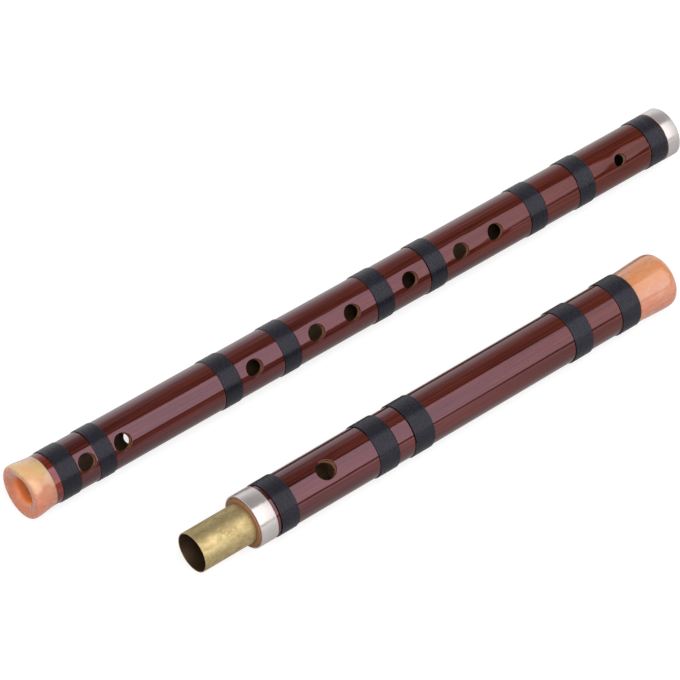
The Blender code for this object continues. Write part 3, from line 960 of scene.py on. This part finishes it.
class DIZI_OT_metal(bpy.types.Operator):
    """Make the ferrules and the brass sleeves"""

    bl_idname = "dizi.metal"
    bl_label = "Metal fittings"

    def execute(self, context):
        edge = settings().metal.edge
        for section, node, name in (
                (BODY, "body_ferrule", "ferrule_body"), (HEAD, "head_ferrule", "ferrule_head")):
            nickel = polished_nickel("nickel_" + name, tuple(section.origin))
            self.collar(section, node, name, FERRULE_WALL, edge, 3, nickel, "nickel")
        for section, node, name, wall in (
                (HEAD, "tenon_sleeve", "sleeve_tenon", TENON_WALL),
                (BODY, "socket_sleeve", "sleeve_socket", SOCKET_SLEEVE_WALL)):
            brass = handled_brass(
                "brass_" + name, tuple(section.origin), section.radius(node) - wall)
            self.collar(section, node, name, wall, SLEEVE_EDGE, 2, brass, "brass")
        return {"FINISHED"}

    def collar(self, section, node, name, wall, edge, segments, metal, slot):
        """A plain metal tube with broken edges."""
        first, last = section.along(node)
        outer = section.radius(node)
        inner = outer - wall
        shape = turn(
            [(first, outer), (last, outer), (last, inner), (first, inner)], ROUND_SIDES)
        break_edges(shape, edge, segments)
        finish_piece(shape, name, section, [metal], [node], 50.0)


class DIZI_OT_stopper(bpy.types.Operator):
    """Make the cork in the head"""

    bl_idname = "dizi.stopper"
    bl_label = "Stopper"

    def execute(self, context):
        first, last = HEAD.along("stopper")
        outer = HEAD.radius("stopper")
        outline = [(first, 0.0), (first, outer), (last, outer), (last, 0.0)]
        shape = turn(outline, STOPPER_SIDES, closed=False)
        break_edges(shape, CORK_EDGE)
        cork = natural_cork("cork", tuple(HEAD.origin))
        finish_piece(shape, "stopper_cork", HEAD, [cork], ["stopper"], 50.0)
        return {"FINISHED"}


class DIZI_OT_stage(bpy.types.Operator):
    """Lay the floor, set the light and place the camera"""

    bl_idname = "dizi.stage"
    bl_label = "Studio"

    def execute(self, context):
        self.floor()
        self.room()
        self.softbox()
        self.camera(context)
        context.scene.view_settings.view_transform = "Standard"
        return {"FINISHED"}

    def floor(self):
        """Plain pale floor that keeps the object's shadow, and that glossy rays see dimmer near
        the flute, a painted shadow, and brighter farther out.
        """
        shape = bmesh.new()
        bmesh.ops.create_grid(shape, x_segments=4, y_segments=4, size=FLOOR_REACH)
        mesh = bpy.data.meshes.new("floor")
        shape.to_mesh(mesh)
        shape.free()
        floor = bpy.data.objects.new("floor", mesh)
        bpy.context.scene.collection.objects.link(floor)
        material, tree, shader = new_material("pale_floor")
        shader.inputs["Base Color"].default_value = (*settings().studio.floor, 1.0)
        shader.inputs["Roughness"].default_value = 0.9
        shader.inputs["Specular IOR Level"].default_value = 0.0
        path = add_node(tree, "ShaderNodeLightPath").outputs
        seen = compute(tree, "MAXIMUM", path["Is Camera Ray"], path["Is Transmission Ray"])
        seen = compute(tree, "MULTIPLY", seen, settings().studio.white)
        # Painted shadow in reflections: glossy rays see the floor dim close to the flute and
        # brighter farther out.
        side = compute(tree, "ABSOLUTE", coordinate(tree, "Y"))
        reflected_floor_painted_shade = spread(tree, side, 0.05, 0.20, 0.25, 0.85)
        reflected_floor_painted_shade = compute(tree, "MULTIPLY", path["Is Glossy Ray"], reflected_floor_painted_shade)
        white = compute(tree, "ADD", seen, reflected_floor_painted_shade)
        shader.inputs["Emission Color"].default_value = (1.0, 1.0, 1.0, 1.0)
        tree.links.new(white, shader.inputs["Emission Strength"])
        mesh.materials.append(material)

    def room(self):
        """Room that is pale behind the flute and at its tail, and dark overhead."""
        world = bpy.data.worlds.new("studio_room")
        bpy.context.scene.world = world
        world.use_nodes = True
        tree = world.node_tree
        background = tree.nodes["Background"]
        direction = add_node(tree, "ShaderNodeTexCoord").outputs["Generated"]
        axes = add_node(tree, "ShaderNodeSeparateXYZ", {0: direction}).outputs
        dark = settings().studio.ceiling
        colour = colour_ramp(tree, axes["Z"], (
            (0.0, grey(1.0)), (0.28, grey(1.0)), (0.44, grey(0.80)), (0.54, grey(0.45)),
            (0.66, grey(0.36)), (0.76, grey(0.12)), (0.92, grey(dark)), (1.0, grey(dark))))
        far_side = spread(tree, axes["Y"], -0.10, 0.05)
        colour = mix_colours(tree, far_side, grey(dark), colour)
        tail_side = spread(tree, axes["X"], -0.25, -0.55)
        colour = mix_colours(tree, tail_side, colour, grey(1.0))
        tree.links.new(colour, background.inputs["Color"])
        background.inputs["Strength"].default_value = ROOM_STRENGTH

    def softbox(self):
        """Large softbox on the side of the head section, square to both tubes."""
        chosen = settings().studio
        light = bpy.data.lights.new("softbox", "AREA")
        light.shape = "RECTANGLE"
        light.size, light.size_y = SOFTBOX_SIZE
        light.energy = chosen.softbox
        light.color = SOFTBOX_TINT
        lamp = bpy.data.objects.new("softbox", light)
        bpy.context.scene.collection.objects.link(lamp)
        lean = math.radians(SOFTBOX_LEAN)
        lamp.rotation_euler = (lean, 0.0, 0.0)
        lamp.location = (
            SOFTBOX_ALONG, -SOFTBOX_DISTANCE * math.sin(lean), SOFTBOX_DISTANCE * math.cos(lean))

    def camera(self, context):
        """Camera at the photograph's viewing angle."""
        data = bpy.data.cameras.new("camera")
        data.lens = CAMERA_LENS
        data.sensor_width = SENSOR
        data.clip_start = 0.05
        data.clip_end = 100.0
        camera = bpy.data.objects.new("camera", data)
        context.scene.collection.objects.link(camera)
        back = CAMERA_BACK.normalized()
        camera.location = CAMERA_AIM + back * CAMERA_DISTANCE
        camera.rotation_mode = "QUATERNION"
        camera.rotation_quaternion = back.to_track_quat("Z", "Y")
        context.scene.camera = camera


class DIZI_PT_panel(bpy.types.Panel):
    """Lists the pieces of the flute and their settings"""

    bl_idname = "DIZI_PT_panel"
    bl_label = "Dizi"
    bl_space_type = "VIEW_3D"
    bl_region_type = "UI"
    bl_category = "Dizi"

    def draw(self, context):
        for operator in OPERATORS:
            self.layout.operator(operator.bl_idname)
        chosen = context.scene.dizi
        for group in (chosen.bamboo, chosen.thread, chosen.metal, chosen.resin, chosen.studio):
            box = self.layout.box()
            for name in group.__annotations__:
                box.prop(group, name)


OPERATORS = (
    DIZI_OT_bamboo,
    DIZI_OT_bindings,
    DIZI_OT_resin,
    DIZI_OT_metal,
    DIZI_OT_stopper,
    DIZI_OT_stage,
)
GROUPS = (
    BambooSettings,
    ThreadSettings,
    MetalSettings,
    ResinSettings,
    StudioSettings,
    DiziSettings,
)
CLASSES = GROUPS + OPERATORS + (DIZI_PT_panel,)


def register():
    """Register the classes and the scene's settings."""
    for item in CLASSES:
        bpy.utils.register_class(item)
    bpy.types.Scene.dizi = PointerProperty(type=DiziSettings)


def unregister():
    """Remove the settings and the classes."""
    del bpy.types.Scene.dizi
    for item in reversed(CLASSES):
        bpy.utils.unregister_class(item)


def main():
    """Make every piece and the studio."""
    register()
    bpy.ops.dizi.bamboo()
    bpy.ops.dizi.bindings()
    bpy.ops.dizi.resin()
    bpy.ops.dizi.metal()
    bpy.ops.dizi.stopper()
    bpy.ops.dizi.stage()


if __name__ == "__main__":
    main()
